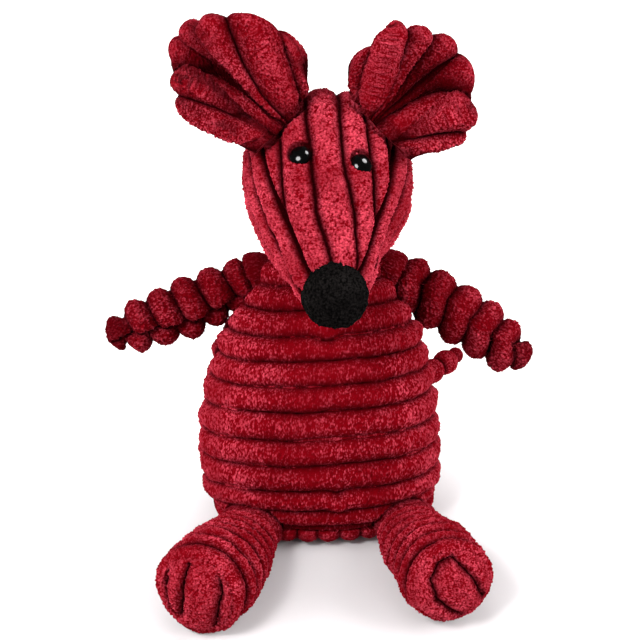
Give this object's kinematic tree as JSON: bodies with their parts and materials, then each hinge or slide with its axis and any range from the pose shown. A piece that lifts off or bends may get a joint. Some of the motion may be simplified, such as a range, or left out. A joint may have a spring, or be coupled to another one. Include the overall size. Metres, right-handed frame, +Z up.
{
  "type": "plush dog toy",
  "caption": "Sitting plush mouse toy for dogs in wide-wale corduroy, with long limbs, cupped ears, a felt nose and a squeaker inside.",
  "frame": {"origin": "middle of the flat seat of the body, on the floor", "axes": "+Z up, the face looks along -Y, +X is the toy's left side"},
  "size_m": [0.2101, 0.2256, 0.2426],
  "materials": {
    "corduroy": "deep pile corduroy with wide wales",
    "felt": "matt short pile",
    "eye_plastic": "polished",
    "washer_plastic": "moulded",
    "fibre_filling": "loose polyester fibre",
    "squeaker_rubber": "satin"
  },
  "bodies": {
    "torso": {"body_front_panel": "corduroy", "body_back_panel": "corduroy", "base_panel": "corduroy", "body_stuffing": "fibre_filling", "squeaker_bulb": "squeaker_rubber", "squeaker_reed": "washer_plastic"},
    "head": {"face_panel": "corduroy", "left_cheek_panel": "corduroy", "right_cheek_panel": "corduroy", "head_stuffing": "fibre_filling", "nose": "felt", "left_eye": "eye_plastic", "right_eye": "eye_plastic", "left_eye_washer": "washer_plastic", "right_eye_washer": "washer_plastic"},
    "left_ear": {"left_ear_front": "corduroy", "left_ear_back": "corduroy"},
    "right_ear": {"right_ear_front": "corduroy", "right_ear_back": "corduroy"},
    "left_arm": {"left_arm": "corduroy", "left_arm_stuffing": "fibre_filling"},
    "right_arm": {"right_arm": "corduroy", "right_arm_stuffing": "fibre_filling"},
    "left_leg": {"left_leg": "corduroy", "left_sole": "corduroy", "left_leg_stuffing": "fibre_filling"},
    "right_leg": {"right_leg": "corduroy", "right_sole": "corduroy", "right_leg_stuffing": "fibre_filling"},
    "tail": {"tail": "corduroy"}
  },
  "joints": [
    {"name": "head_nod", "type": "hinge", "parent": "torso", "child": "head", "pos_m": [0, 0.02562, 0.11087], "axis": [-1, 0, 0], "range_deg": [-5, 25]},
    {"name": "left_ear_fold", "type": "hinge", "parent": "head", "child": "left_ear", "pos_m": [0.02625, 0.01406, 0.19617], "axis": [0.6316, -0.5288, -0.567], "range_deg": [-25, 25]},
    {"name": "right_ear_fold", "type": "hinge", "parent": "head", "child": "right_ear", "pos_m": [-0.02048, 0.01379, 0.19733], "axis": [0.6529, 0.5362, 0.535], "range_deg": [-25, 25]},
    {"name": "left_arm_swing", "type": "hinge", "parent": "torso", "child": "left_arm", "pos_m": [0.033, 0.02494, 0.10899], "axis": [0, -1, 0], "range_deg": [-10, 60]},
    {"name": "right_arm_swing", "type": "hinge", "parent": "torso", "child": "right_arm", "pos_m": [-0.033, 0.02494, 0.10899], "axis": [0, 1, 0], "range_deg": [-10, 60]},
    {"name": "left_leg_lift", "type": "hinge", "parent": "torso", "child": "left_leg", "pos_m": [0.038, -0.0485, 0.0115], "axis": [-0.9781, -0.2079, 0], "range_deg": [0, 20]},
    {"name": "right_leg_lift", "type": "hinge", "parent": "torso", "child": "right_leg", "pos_m": [-0.038, -0.0485, 0.0115], "axis": [-0.9135, 0.4067, 0], "range_deg": [0, 20]},
    {"name": "tail_swing", "type": "hinge", "parent": "torso", "child": "tail", "pos_m": [0, 0.042, 0.0061], "axis": [0, 0, 1], "range_deg": [-10, 60]}
  ]
}
